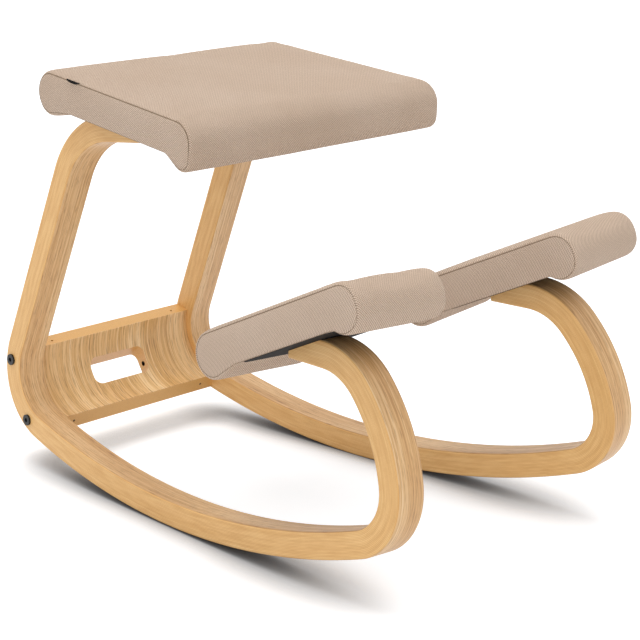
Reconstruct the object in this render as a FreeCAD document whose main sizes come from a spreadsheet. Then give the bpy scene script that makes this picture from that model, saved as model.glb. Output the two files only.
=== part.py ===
import FreeCAD, Part
import math
import os
import Sketcher

# Rocking kneeling chair: two bent laminated runners, a bent crosspiece between their rear bends,
# an upholstered seat on the runners' top ends and an upholstered knee pad on each front tip.
# +X is the front, +Y the sitter's left, +Z up, and the rockers stand on z = 0.
# Each runner is drawn in a frame of its own: x along the runner, y inwards from its outer face,
# z up, turned out by "toe" and leaned in by "cant".

# Driving sizes in millimetres and degrees
SIZES = {
    # Runner: a strip of constant section bent along a path of tangent arcs and straights
    "runner_thick": 31.0,
    "runner_width": 37.0,
    "edge_ease": 1.8,
    "rocker_radius": 982.7,
    "rocker_span": 35.7,
    "rocker_low_x": -27.9,
    "rear_bend_radius": 56.2,
    "rear_bend_span": 97.1,
    "upright_lean": 23.0,
    "upright_length": 256.3,
    "top_bend_radius": 93.4,
    "top_bend_span": 60.3,
    "top_length": 87.3,
    "low_bend_radius": 48.9,
    "low_bend_span": 81.2,
    "rise_radius": 171.7,
    "rise_span": 33.1,
    "crest_radius": 64.2,
    "crest_span": 46.1,
    "front_length": 52.0,
    # Stance of the pair of runners
    "stance_half": 187.5,
    "toe": 3.2,
    "cant": 2.7,
    # Flat cuts on the runner's two ends
    "top_tip_thick": 10.7,
    "front_tip_thick": 8.2,
    "seat_tilt": 6.2,
    "pad_tilt": 24.5,
    # Crosspiece: a bent board that follows the rear bends
    "cross_thick": 19.0,
    "cross_inset": 3.0,
    "cross_start": 4.0,
    "cross_span": 94.0,
    "slot_long": 92.0,
    "slot_high": 34.5,
    "slot_corner": 11.0,
    "slot_tilt": 45.0,
    "slot_angle": 50.6,
    "end_hole_radius": 3.5,
    "end_hole_depth": 25.0,
    "end_hole_angle": 54.4,
    # Connector bolts, sleeves and pins at the crosspiece
    "upper_bolt_angle": 17.0,
    "lower_bolt_angle": 82.0,
    "head_radius": 7.0,
    "head_high": 2.5,
    "key_radius": 3.0,
    "key_deep": 1.8,
    "shank_radius": 3.0,
    "shank_grip": 24.0,
    "sleeve_radius": 5.0,
    "sleeve_long": 32.0,
    "thread_gap": 0.1,
    "pin_radius": 1.7,
    "pin_back": 22.5,
    "pin_sunk": 2.0,
    # Seat
    "seat_half": 198.4,
    "seat_taper": 3.8,
    "seat_top": 45.0,
    "seat_rear_x": -151.5,
    "seat_rear_radius": 28.5,
    "seat_front_x": 88.2,
    "seat_front_radius": 29.0,
    "seat_lip_radius": 16.0,
    "seat_lip_low": 15.5,
    "seat_hollow_rear": -111.5,
    "seat_hollow_front": 72.5,
    "seat_board_rear": -158.0,
    "seat_board_front": 94.0,
    "seat_board_half": 178.0,
    "seat_plate_thick": 2.0,
    "seat_board_thick": 10.0,
    "board_corner": 22.0,
    "cloth": 1.5,
    "plate_rim": 3.0,
    # Knee pads
    "pad_half": 64.3,
    "pad_top": 47.5,
    "pad_rear_x": -77.0,
    "pad_rear_radius": 29.5,
    "pad_front_x": 145.3,
    "pad_front_radius": 27.2,
    "pad_lip_radius": 26.0,
    "pad_lip_low": 6.7,
    "pad_hollow_rear": -42.0,
    "pad_hollow_front": 126.0,
    "pad_board_rear": -80.0,
    "pad_board_front": 148.0,
    "pad_board_half": 52.0,
    "pad_plate_thick": 3.0,
    "pad_board_thick": 8.0,
    # Screws that hold the seat and the pads, driven up through the runner ends
    "seat_screw_rear": -75.5,
    "seat_screw_front": -25.5,
    "seat_web": 8.0,
    "pad_screw_rear": 17.5,
    "pad_screw_front": 41.5,
    "pad_web": 6.0,
    "screw_radius": 3.0,
    "screw_gap": 0.4,
    "screw_head_radius": 5.0,
    "screw_head_high": 5.0,
    "washer_radius": 7.5,
    "washer_thick": 1.4,
    "counterbore_radius": 8.5,
    "nut_flange_radius": 9.5,
    "nut_flange_thick": 1.5,
    "nut_barrel_radius": 4.0,
    "screw_short": 1.5,
    # Plain cloth tab in the seat's side seam
    "tab_rear": -115.0,
    "tab_long": 26.0,
    "tab_high": 6.0,
    "tab_thick": 1.2,
    "tab_drop": 1.0,
}

doc = FreeCAD.newDocument("kneeling_chair")
sizes = doc.addObject("Spreadsheet::Sheet", "Sizes")
for row, (word, number) in enumerate(SIZES.items(), start=1):
    sizes.set(f"A{row}", word)
    sizes.set(f"B{row}", str(number))
    sizes.setAlias(f"B{row}", word)
doc.recompute()

Vector = FreeCAD.Vector
Rule = Sketcher.Constraint
START, END, CENTRE = 1, 2, 3
AXES = -1
# Reach of a cutting block: further than any piece that it trims
FAR = 400.0
# Sides of the small rods and holes that are hidden in the chair
ROD_SIDES = 12


def size(word):
    """The number in a cell of the sheet of driving sizes."""
    return float(sizes.get(word))


def bound(sketch, rule, formula, name=None):
    """Adds a dimension to a sketch and ties it to the sheet."""
    index = sketch.addConstraint(rule)
    if name:
        sketch.renameConstraint(index, name)
    sketch.setExpression(f"Constraints[{index}]", formula)
    return index


def measured(sketch, rule, name):
    """Adds a dimension that reads a place off a sketch, for what is set out from it."""
    index = sketch.addConstraint(rule)
    sketch.setDriving(index, False)
    sketch.renameConstraint(index, name)


def new_body(name, place=None):
    body = doc.addObject("PartDesign::Body", name)
    if place:
        body.setExpression("Placement", place)
    return body


def new_sketch(body, name, role):
    """A sketch on one of the body's own origin planes."""
    sketch = body.newObject("Sketcher::SketchObject", name)
    plane = [item for item in body.Origin.OriginFeatures if item.Role == role][0]
    sketch.AttachmentSupport = [(plane, "")]
    sketch.MapMode = "FlatFace"
    return sketch


def padded(body, name, sketch, length, midplane=True):
    pad = body.newObject("PartDesign::Pad", name)
    pad.Profile = sketch
    pad.Midplane = midplane
    pad.setExpression("Length", length)
    return pad


def solid(kind, name, place, **formulas):
    """A Part primitive with its sizes and its place tied to the sheet."""
    item = doc.addObject(kind, name)
    for key, formula in formulas.items():
        item.setExpression(key, formula)
    item.setExpression("Placement", place)
    return item


def cylinder(name, place, radius, height):
    return solid("Part::Cylinder", name, place, Radius=radius, Height=height)


def rod(name, place, radius, height):
    """A many-sided rod, for small hidden fasteners and the holes that they sit in."""
    item = solid("Part::Prism", name, place, Circumradius=radius, Height=height)
    item.Polygon = ROD_SIDES
    return item


def block(name, place, length, width, height):
    return solid("Part::Box", name, place, Length=length, Width=width, Height=height)


def fused(name, pieces):
    item = doc.addObject("Part::MultiFuse", name)
    item.Shapes = pieces
    return item


def cut(name, base, tool):
    item = doc.addObject("Part::Cut", name)
    item.Base = base
    item.Tool = tool
    return item


def group(name, pieces):
    """Like pieces in one node, each a solid of its own."""
    item = doc.addObject("Part::Compound", name)
    item.Links = pieces
    return item


def mirrored(name, source):
    """The sitter's left-hand twin of a right-hand piece."""
    item = doc.addObject("Part::Mirroring", name)
    item.Source = source
    item.Normal = Vector(0, 1, 0)
    return item


def pair(name, source):
    """A right-hand piece or group and its left-hand twin in one node."""
    return group(name, [source, mirrored(name + "_twin", source)])


def at(frame, x="0", y="0", z="0", yaw="0", pitch="0"):
    """The formula of a place given in one of the chair's frames."""
    step = f"placement(vector({x}; {y}; {z}); rotation({yaw}; {pitch}; 0))"
    return f"{frame} * {step}" if frame else step


# Runner path, from the top end back, down, forward over the rocker, up and back to the front tip
# Each step: name, kind, length or inner radius, span
PATH = [
    ("top", "line", "top_length", None),
    ("top_bend", "arc", "top_bend_radius", "top_bend_span"),
    ("upright", "line", "upright_length", None),
    ("rear_bend", "arc", "rear_bend_radius", "rear_bend_span"),
    ("rocker", "arc", "rocker_radius", "rocker_span"),
    ("low_bend", "arc", "low_bend_radius", "low_bend_span"),
    ("rise", "arc", "rise_radius", "rise_span"),
    ("crest", "arc", "crest_radius", "crest_span"),
    ("front", "line", "front_length", None),
]
STEP = {entry[0]: index for index, entry in enumerate(PATH)}


def middle_radius(name, radius):
    """The radius at mid thickness: the rocker is sized at its outer face, the bends at their inner."""
    side = "-" if name == "rocker" else "+"
    return f"Sizes.{radius} {side} Sizes.runner_thick / 2"


def walk_path():
    """The path's edges near their final places, walked from the sizes."""
    heading = math.radians(270 - size("upright_lean") - size("top_bend_span"))
    point = Vector(0, 0, 0)
    edges = []
    low = Vector(0, 0, 0)
    half = size("runner_thick") / 2
    for name, kind, length, span in PATH:
        along = Vector(math.cos(heading), math.sin(heading), 0)
        if kind == "line":
            finish = point + along * size(length)
            edges.append(Part.LineSegment(point, finish))
            point = finish
            continue
        radius = size(length) + (-half if name == "rocker" else half)
        left = Vector(-math.sin(heading), math.cos(heading), 0)
        centre = point + left * radius
        turn = math.radians(size(span))
        circle = Part.Circle(centre, Vector(0, 0, 1), radius)
        first = heading - math.pi / 2
        edges.append(Part.ArcOfCircle(circle, first, first + turn))
        heading += turn
        point = centre + Vector(math.sin(heading), -math.cos(heading), 0) * radius
        if name == "rocker":
            low = centre
    shift = Vector(size("rocker_low_x"), size("rocker_radius"), 0) - low
    for edge in edges:
        edge.translate(shift)
    return edges


# The lowest line of a leaning runner is the inner edge of its flat underside, so the frame is lifted by it
LIFT = "(sin(Sizes.cant) * (Sizes.runner_width - Sizes.edge_ease))"
RUNNER = f"placement(vector(0; -Sizes.stance_half; {LIFT}); rotation(-Sizes.toe; 0; -Sizes.cant))"

runner_blank = new_body("runner_blank", RUNNER)
path = new_sketch(runner_blank, "runner_path", "XZ_Plane")
path.addGeometry(walk_path(), False)
for index, (name, kind, length, span) in enumerate(PATH):
    if kind == "line":
        bound(path, Rule("Distance", index, size(length)), f"Sizes.{length}")
    else:
        bound(path, Rule("Radius", index, path.Geometry[index].Radius), middle_radius(name, length))
        bound(path, Rule("Angle", index, math.radians(size(span))), f"Sizes.{span} * 1 deg")
    if index:
        path.addConstraint(Rule("Tangent", index - 1, END, index, START))
upright_heading = math.radians(270 - size("upright_lean"))
bound(path, Rule("Angle", STEP["upright"], upright_heading), "(270 - Sizes.upright_lean) * 1 deg")
rocker = STEP["rocker"]
bound(path, Rule("DistanceX", AXES, START, rocker, CENTRE, size("rocker_low_x")), "Sizes.rocker_low_x")
bound(path, Rule("DistanceY", AXES, START, rocker, CENTRE, size("rocker_radius")), "Sizes.rocker_radius")
places = (("top_end", "top", START), ("front_end", "front", END), ("bend", "rear_bend", CENTRE))
for name, step, point in places:
    measured(path, Rule("DistanceX", AXES, START, STEP[step], point, 1.0), name + "_x")
    measured(path, Rule("DistanceY", AXES, START, STEP[step], point, 1.0), name + "_z")
doc.recompute()


def rounded_rectangle(sketch, left, right, low, high, corner, formulas):
    """A rectangle with round corners: the formulas give its left, right, low and high sides and corner."""
    corners = [(right, low, -90), (right, high, 0), (left, high, 90), (left, low, 180)]
    centres = []
    for x, y, _ in corners:
        inward_x = corner if x == left else -corner
        inward_y = corner if y == low else -corner
        centres.append(Vector(x + inward_x, y + inward_y, 0))
    sides = [(0, -1), (1, 0), (0, 1), (-1, 0)]
    for index, (out_x, out_y) in enumerate(sides):
        out = Vector(out_x, out_y, 0) * corner
        sketch.addGeometry(Part.LineSegment(centres[index - 1] + out, centres[index] + out), False)
        circle = Part.Circle(centres[index], Vector(0, 0, 1), corner)
        first = math.radians(corners[index][2])
        sketch.addGeometry(Part.ArcOfCircle(circle, first, first + math.pi / 2), False)
    for index in range(8):
        sketch.addConstraint(Rule("Tangent", index, END, (index + 1) % 8, START))
    for index in (0, 4):
        sketch.addConstraint(Rule("Horizontal", index))
    for index in (2, 6):
        sketch.addConstraint(Rule("Vertical", index))
    for index in (3, 5, 7):
        sketch.addConstraint(Rule("Equal", 1, index))
    bound(sketch, Rule("Radius", 1, corner), formulas[4])
    bound(sketch, Rule("DistanceX", AXES, START, 6, START, left), formulas[0])
    bound(sketch, Rule("DistanceX", AXES, START, 2, START, right), formulas[1])
    bound(sketch, Rule("DistanceY", AXES, START, 0, START, low), formulas[2])
    bound(sketch, Rule("DistanceY", AXES, START, 4, START, high), formulas[3])


def eased_rectangle(sketch, left, right, low, high, ease, formulas):
    """A rectangle with corners cut at 45 degrees: the formulas give its four sides and the cut."""
    points = [(left + ease, low), (right - ease, low), (right, low + ease), (right, high - ease),
              (right - ease, high), (left + ease, high), (left, high - ease), (left, low + ease)]
    for index, (x, y) in enumerate(points):
        next_x, next_y = points[(index + 1) % 8]
        sketch.addGeometry(Part.LineSegment(Vector(x, y, 0), Vector(next_x, next_y, 0)), False)
    for index in range(8):
        sketch.addConstraint(Rule("Coincident", index, END, (index + 1) % 8, START))
    for index in (0, 4):
        sketch.addConstraint(Rule("Horizontal", index))
    for index in (2, 6):
        sketch.addConstraint(Rule("Vertical", index))
    # Each cut corner: its line, and which of its ends comes first to the right and upwards
    for index, first_x, first_y in ((1, START, START), (3, END, START), (5, END, END), (7, START, END)):
        last_x = START if first_x == END else END
        last_y = START if first_y == END else END
        bound(sketch, Rule("DistanceX", index, first_x, index, last_x, ease), formulas[4])
        bound(sketch, Rule("DistanceY", index, first_y, index, last_y, ease), formulas[4])
    bound(sketch, Rule("DistanceX", AXES, START, 6, START, left), formulas[0])
    bound(sketch, Rule("DistanceX", AXES, START, 2, START, right), formulas[1])
    bound(sketch, Rule("DistanceY", AXES, START, 0, START, low), formulas[2])
    bound(sketch, Rule("DistanceY", AXES, START, 4, START, high), formulas[3])


# Section of the laminated strip, square to the path's start, with eased edges
section = runner_blank.newObject("Sketcher::SketchObject", "runner_section")
section.AttachmentSupport = [(path, "Edge1")]
section.MapMode = "NormalToEdge"
section.MapPathParameter = 0
thick_half = "Sizes.runner_thick / 2"
eased_rectangle(section, 0.0, size("runner_width"), -size("runner_thick") / 2, size("runner_thick") / 2,
                size("edge_ease"),
                ("0", "Sizes.runner_width", f"-{thick_half}", thick_half, "Sizes.edge_ease"))
strip = runner_blank.newObject("PartDesign::AdditivePipe", "runner_strip")
strip.Profile = section
strip.Spine = (path, [f"Edge{index + 1}" for index in range(len(PATH))])

# Frames of what the runner carries. The seat's origin is over the runner's top tip and the pad's over
# its front tip, both on the flat cuts, with x forward along the cut and z square to it.
tip_x = "(runner_path.Constraints.top_end_x / 1 mm)"
tip_z = "(runner_path.Constraints.top_end_z / 1 mm - Sizes.runner_thick / 2 + Sizes.top_tip_thick)"
SEAT = at("", f"{tip_x} * cos(Sizes.toe)", "0", f"{LIFT} + {tip_z} * cos(Sizes.cant)", "0", "Sizes.seat_tilt")
nose_z = "(runner_path.Constraints.front_end_z / 1 mm - Sizes.runner_thick / 2 + Sizes.front_tip_thick)"
PAD = at(RUNNER, "runner_path.Constraints.front_end_x / 1 mm", "Sizes.runner_width / 2", nose_z,
         "0", "-Sizes.pad_tilt")
BEND_X = "(runner_path.Constraints.bend_x / 1 mm * cos(Sizes.toe) + Sizes.runner_width * sin(Sizes.toe))"
BEND_Z = (f"({LIFT} + runner_path.Constraints.bend_z / 1 mm * cos(Sizes.cant)"
          " - Sizes.runner_width * sin(Sizes.cant))")


# Round fastener pieces, made upright at their frame's origin
def screw(name, frame, x, y, web, thick):
    """Socket screw driven up: its head is under the washer, its shank ends short of the nut's flange."""
    under = f"-({web} + Sizes.washer_thick)"
    head = rod(name + "_head", at(frame, x, y, f"{under} - Sizes.screw_head_high"),
               "Sizes.screw_head_radius", "Sizes.screw_head_high")
    reach = f"{web} + Sizes.washer_thick + {thick} - Sizes.screw_short"
    shank = rod(name + "_shank", at(frame, x, y, under), "Sizes.screw_radius", reach)
    key = solid("Part::Prism", name + "_key", at(frame, x, y, f"{under} - Sizes.screw_head_high"),
                Circumradius="Sizes.key_radius", Height="Sizes.screw_head_high / 2")
    return cut(name, fused(name + "_solid", [head, shank]), key)


def washer(name, frame, x, y, web):
    place = at(frame, x, y, f"-({web} + Sizes.washer_thick)")
    disc = rod(name + "_disc", place, "Sizes.washer_radius", "Sizes.washer_thick")
    hole = rod(name + "_hole", place, "Sizes.screw_radius + Sizes.screw_gap", "Sizes.washer_thick")
    return cut(name, disc, hole)


def flanged_nut(name, frame, x, y, low, thick):
    """Nut pressed into a board from above: a barrel through the board and a flange on top of it."""
    flange = rod(name + "_flange", at(frame, x, y, f"{low} + {thick}"),
                 "Sizes.nut_flange_radius", "Sizes.nut_flange_thick")
    barrel = rod(name + "_barrel", at(frame, x, y, low), "Sizes.nut_barrel_radius", thick)
    bore = rod(name + "_bore", at(frame, x, y, low), "Sizes.screw_radius + Sizes.thread_gap",
               f"{thick} + Sizes.nut_flange_thick")
    body = fused(name + "_body", [flange, barrel])
    return cut(name, body, bore), body


def runner_bore(name, frame, x, y, web):
    """What is bored in a runner end for one screw: a clearance hole and a counterbore from below."""
    hole = rod(name + "_hole", at(frame, x, y, f"-{web} - 1"), "Sizes.screw_radius + Sizes.screw_gap",
               f"{web} + 2")
    sink = cylinder(name + "_sink", at(frame, x, y, f"-{web} - Sizes.runner_thick"),
                    "Sizes.counterbore_radius", "Sizes.runner_thick")
    return [hole, sink]


# Fasteners at one runner's top end and at its front tip
def place_y(x):
    """Across the chair, the middle of the right-hand runner's top end at a place along the seat."""
    return (f"(Sizes.runner_width / 2 - Sizes.stance_half - tan(Sizes.toe) * ({tip_x} + {x})"
            f" + tan(Sizes.cant) * {tip_z})")


bores = []
seat_screws = []
seat_washers = []
seat_nuts = []
seat_nut_bodies = []
for end in ("rear", "front"):
    x = f"Sizes.seat_screw_{end}"
    y = place_y(x)
    stack = "(Sizes.seat_plate_thick + Sizes.seat_board_thick)"
    seat_screws.append(screw(f"seat_screw_{end}_one", SEAT, x, y, "Sizes.seat_web", stack))
    seat_washers.append(washer(f"seat_washer_{end}_one", SEAT, x, y, "Sizes.seat_web"))
    nut, nut_body = flanged_nut(f"seat_nut_{end}_one", SEAT, x, y, "Sizes.seat_plate_thick",
                                "Sizes.seat_board_thick")
    seat_nuts.append(nut)
    seat_nut_bodies.append(nut_body)
    bores += runner_bore(f"seat_bore_{end}", SEAT, x, y, "Sizes.seat_web")

pad_screws = []
pad_washers = []
pad_nuts = []
pad_nut_bodies = []
for end in ("rear", "front"):
    x = f"Sizes.pad_screw_{end}"
    stack = "(Sizes.pad_plate_thick + Sizes.pad_board_thick)"
    pad_screws.append(screw(f"pad_screw_{end}_one", PAD, x, "0", "Sizes.pad_web", stack))
    pad_washers.append(washer(f"pad_washer_{end}_one", PAD, x, "0", "Sizes.pad_web"))
    nut, nut_body = flanged_nut(f"pad_nut_{end}_one", PAD, x, "0", "Sizes.pad_plate_thick",
                                "Sizes.pad_board_thick")
    pad_nuts.append(nut)
    pad_nut_bodies.append(nut_body)
    bores += runner_bore(f"pad_bore_{end}", PAD, x, "0", "Sizes.pad_web")

# Connector bolts through the rear bend into sleeves in the crosspiece's ends, and the sleeves' pins.
# Angles are taken along the bend from its upper end.
CROSS_OUTER = "(Sizes.rear_bend_radius + Sizes.runner_thick - Sizes.cross_inset)"
CROSS_INNER = f"({CROSS_OUTER} - Sizes.cross_thick)"
CROSS_MIDDLE = f"({CROSS_OUTER} - Sizes.cross_thick / 2)"
BEND_START = "(270 - Sizes.upright_lean)"


def on_bend(angle, y, pitch="0"):
    """A place at mid thickness of the crosspiece, in the runner's frame, facing up or turned by pitch."""
    heading = f"({BEND_START} + {angle})"
    x = f"runner_path.Constraints.bend_x / 1 mm + {CROSS_MIDDLE} * sin{heading}"
    z = f"runner_path.Constraints.bend_z / 1 mm - {CROSS_MIDDLE} * cos{heading}"
    return at(RUNNER, x, y, z, "0", pitch)


def across(place, offset="0"):
    """Turns a place so that an upright cylinder there lies along the runner's width, pointing inwards."""
    return f"{place} * placement(vector(0; {offset}; 0); rotation(0; 0; -90))"


connector_bolts = []
connector_sleeves = []
sleeve_pins = []
bolt_holes = []
cross_bores = []
for level in ("upper", "lower"):
    angle = f"Sizes.{level}_bolt_angle"
    axis = on_bend(angle, "0")
    head = cylinder(f"{level}_bolt_head", across(axis, "-Sizes.head_high"), "Sizes.head_radius",
                    "Sizes.head_high")
    shank = rod(f"{level}_bolt_shank", across(axis), "Sizes.shank_radius",
                "Sizes.runner_width + Sizes.shank_grip")
    key = solid("Part::Prism", f"{level}_bolt_key", across(axis, "-Sizes.head_high"),
                Circumradius="Sizes.key_radius", Height="Sizes.key_deep")
    connector_bolts.append(cut(f"{level}_bolt", fused(f"{level}_bolt_solid", [head, shank]), key))
    bolt_holes.append(rod(f"{level}_bolt_hole", across(axis), "Sizes.shank_radius + Sizes.screw_gap",
                          "Sizes.runner_width"))
    sleeve = rod(f"{level}_sleeve_rod", across(axis, "Sizes.runner_width"), "Sizes.sleeve_radius",
                 "Sizes.sleeve_long")
    bore = rod(f"{level}_sleeve_bore", across(axis, "Sizes.runner_width"),
               "Sizes.shank_radius + Sizes.thread_gap", "Sizes.shank_grip + 2")
    connector_sleeves.append(cut(f"{level}_sleeve", sleeve, bore))
    cross_bores.append(sleeve)
    # The pin runs from the sleeve out to the crosspiece's nearer long edge
    if level == "upper":
        reach = f"(Sizes.{level}_bolt_angle - Sizes.cross_start)"
        pitch = f"270 - ({BEND_START} + {angle} - {reach} / 2)"
    else:
        reach = f"(Sizes.cross_start + Sizes.cross_span - Sizes.{level}_bolt_angle)"
        pitch = f"90 - ({BEND_START} + {angle} + {reach} / 2)"
    chord = f"(2 * {CROSS_MIDDLE} * sin({reach} / 2))"
    line = on_bend(angle, "Sizes.runner_width + Sizes.pin_back", pitch)
    out = f"{line} * placement(vector(0; 0; Sizes.sleeve_radius); rotation(0; 0; 0))"
    sleeve_pins.append(rod(f"{level}_pin", out, "Sizes.pin_radius",
                           f"{chord} - Sizes.sleeve_radius - Sizes.pin_sunk"))
    cross_bores.append(rod(f"{level}_pin_hole", out, "Sizes.pin_radius", f"{chord} + Sizes.cross_thick"))

# Runner: the strip, cut flat under the seat and under the knee pad, and bored
seat_cut = block("seat_cut", at(SEAT, f"-{FAR}", f"-{FAR}", "0"), f"{2 * FAR}", f"{2 * FAR}", f"{FAR}")
pad_cut = block("pad_cut", at(PAD, "-Sizes.runner_width", "-Sizes.runner_width", "0"),
                f"{FAR}", "2 * Sizes.runner_width", f"{FAR}")
runner_right = cut("runner_right", runner_blank,
                   fused("runner_cuts", [seat_cut, pad_cut] + bores + bolt_holes))
runner_left = mirrored("runner_left", runner_right)

# Crosspiece: a bent board with a slanted hand slot, cut to the runners' inner faces
cross_blank = new_body("cross_blank", at("", BEND_X, "0", BEND_Z))
band = new_sketch(cross_blank, "cross_band", "XZ_Plane")
band_first = math.radians(180 - size("upright_lean") + size("cross_start"))
band_last = band_first + math.radians(size("cross_span"))
band_outer = size("rear_bend_radius") + size("runner_thick") - size("cross_inset")
band_inner = band_outer - size("cross_thick")
radii = (band_outer, band_inner)
for radius in radii:
    circle = Part.Circle(Vector(0, 0, 0), Vector(0, 0, 1), radius)
    band.addGeometry(Part.ArcOfCircle(circle, band_first, band_last), False)
for turn in (band_first, band_last):
    along = Vector(math.cos(turn), math.sin(turn), 0)
    band.addGeometry(Part.LineSegment(along * band_inner, along * band_outer), False)
for arc, formula in ((0, CROSS_OUTER), (1, CROSS_INNER)):
    band.addConstraint(Rule("Coincident", arc, CENTRE, AXES, START))
    bound(band, Rule("Radius", arc, radii[arc]), formula)
for line, point in ((2, START), (3, END)):
    band.addConstraint(Rule("Coincident", line, START, 1, point))
    band.addConstraint(Rule("Coincident", line, END, 0, point))
bound(band, Rule("Angle", 2, band_first), "(180 - Sizes.upright_lean + Sizes.cross_start) * 1 deg")
bound(band, Rule("Angle", 3, band_last),
      "(180 - Sizes.upright_lean + Sizes.cross_start + Sizes.cross_span) * 1 deg")
band.addConstraint(Rule("PointOnObject", AXES, START, 2))
band.addConstraint(Rule("PointOnObject", AXES, START, 3))
padded(cross_blank, "cross_bent_board", band, "2 * Sizes.stance_half")

SLOT_TURN = f"({BEND_START} + Sizes.slot_angle)"
slot_body = new_body("slot_tool", at("", f"{BEND_X} + {CROSS_INNER} * sin{SLOT_TURN}", "0",
                                     f"{BEND_Z} - {CROSS_INNER} * cos{SLOT_TURN}", "0", "Sizes.slot_tilt"))
slot_outline = new_sketch(slot_body, "slot_outline", "XY_Plane")
rounded_rectangle(slot_outline, -size("slot_high") / 2, size("slot_high") / 2, -size("slot_long") / 2,
                  size("slot_long") / 2, size("slot_corner"),
                  ("-Sizes.slot_high / 2", "Sizes.slot_high / 2", "-Sizes.slot_long / 2",
                   "Sizes.slot_long / 2", "Sizes.slot_corner"))
padded(slot_body, "slot_cutter", slot_outline, "4 * Sizes.cross_thick")

HOLE_TURN = f"({BEND_START} + Sizes.end_hole_angle)"
end_hole_start = at("", f"{BEND_X} + {CROSS_MIDDLE} * sin{HOLE_TURN}",
                    "-(Sizes.slot_long / 2 + Sizes.end_hole_depth)",
                    f"{BEND_Z} - {CROSS_MIDDLE} * cos{HOLE_TURN}")
end_holes = rod("end_holes", across(end_hole_start), "Sizes.end_hole_radius",
                "Sizes.slot_long + 2 * Sizes.end_hole_depth")
end_trim = block("cross_end_trim", at(RUNNER, f"-{2 * FAR}", f"-{FAR}", f"-{FAR}"), f"{2 * FAR}",
                 f"{FAR} + Sizes.runner_width", f"{2 * FAR}")
right_cuts = fused("cross_right_cuts", [end_trim] + cross_bores)
left_cuts = mirrored("cross_left_cuts", right_cuts)
crosspiece = cut("crosspiece", cross_blank,
                 fused("cross_cuts", [right_cuts, left_cuts, slot_body, end_holes]))


def cushion_profile(body, name, kind, inset):
    """Side outline of a pad: a flat top, a roll at each end and a shallow hollow between them below."""
    sketch = new_sketch(body, name, "XZ_Plane")
    cell = f"Sizes.{kind}_"
    gap = size("cloth") if inset else 0.0
    less = " - Sizes.cloth" if inset else ""
    top = size(kind + "_top") - gap
    rear = size(kind + "_rear_radius") - gap
    front = size(kind + "_front_radius") - gap
    lip = size(kind + "_lip_radius") - gap
    rear_x = size(kind + "_rear_x")
    front_x = size(kind + "_front_x")
    nose = front_x + front
    low = gap - size(kind + "_lip_low")
    hollow_rear = size(kind + "_hollow_rear")
    hollow_front = size(kind + "_hollow_front")
    up = Vector(0, 0, 1)
    rear_centre = Vector(rear_x, top - rear, 0)
    front_centre = Vector(front_x, top - front, 0)
    lip_centre = Vector(nose - lip, low + lip, 0)

    def touch(centre, radius, x, side):
        """Direction from a circle's centre to where a line from the hollow's end touches the circle."""
        away = Vector(x, gap, 0) - centre
        return math.atan2(away.y, away.x) + side * math.acos(min(1.0, radius / away.Length))

    lip_turn = touch(lip_centre, lip, hollow_front, 1)
    rear_turn = touch(rear_centre, rear, hollow_rear, -1)
    sketch.addGeometry(Part.LineSegment(Vector(front_x, top, 0), Vector(rear_x, top, 0)), False)
    sketch.addGeometry(Part.ArcOfCircle(Part.Circle(rear_centre, up, rear), math.pi / 2,
                                        rear_turn % (2 * math.pi)), False)
    rear_touch = rear_centre + Vector(math.cos(rear_turn), math.sin(rear_turn), 0) * rear
    sketch.addGeometry(Part.LineSegment(rear_touch, Vector(hollow_rear, gap, 0)), False)
    sketch.addGeometry(Part.LineSegment(Vector(hollow_rear, gap, 0), Vector(hollow_front, gap, 0)), False)
    lip_touch = lip_centre + Vector(math.cos(lip_turn), math.sin(lip_turn), 0) * lip
    sketch.addGeometry(Part.LineSegment(Vector(hollow_front, gap, 0), lip_touch), False)
    sketch.addGeometry(Part.ArcOfCircle(Part.Circle(lip_centre, up, lip), lip_turn % (2 * math.pi),
                                        2 * math.pi), False)
    sketch.addGeometry(Part.LineSegment(Vector(nose, low + lip, 0), Vector(nose, top - front, 0)), False)
    sketch.addGeometry(Part.ArcOfCircle(Part.Circle(front_centre, up, front), 0, math.pi / 2), False)
    for first, second in ((0, 1), (1, 2), (4, 5), (5, 6), (6, 7), (7, 0)):
        sketch.addConstraint(Rule("Tangent", first, END, second, START))
    for first, second in ((2, 3), (3, 4)):
        sketch.addConstraint(Rule("Coincident", first, END, second, START))
    sketch.addConstraint(Rule("Horizontal", 0))
    sketch.addConstraint(Rule("Horizontal", 3))
    sketch.addConstraint(Rule("Vertical", 6))
    bound(sketch, Rule("Radius", 1, rear), f"{cell}rear_radius{less}")
    bound(sketch, Rule("Radius", 7, front), f"{cell}front_radius{less}")
    bound(sketch, Rule("Radius", 5, lip), f"{cell}lip_radius{less}")
    bound(sketch, Rule("DistanceX", AXES, START, 1, CENTRE, rear_x), f"{cell}rear_x")
    bound(sketch, Rule("DistanceY", AXES, START, 0, START, top), f"{cell}top{less}")
    bound(sketch, Rule("DistanceX", AXES, START, 7, CENTRE, front_x), f"{cell}front_x")
    lip_low = f"{cell}lip_radius - {cell}lip_low"
    bound(sketch, Rule("DistanceY", AXES, START, 5, CENTRE, low + lip), lip_low)
    level = "Sizes.cloth" if inset else "0"
    bound(sketch, Rule("DistanceY", AXES, START, 3, START, gap), level)
    bound(sketch, Rule("DistanceX", AXES, START, 3, START, hollow_rear), f"{cell}hollow_rear")
    bound(sketch, Rule("DistanceX", AXES, START, 3, END, hollow_front), f"{cell}hollow_front")
    return sketch


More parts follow.
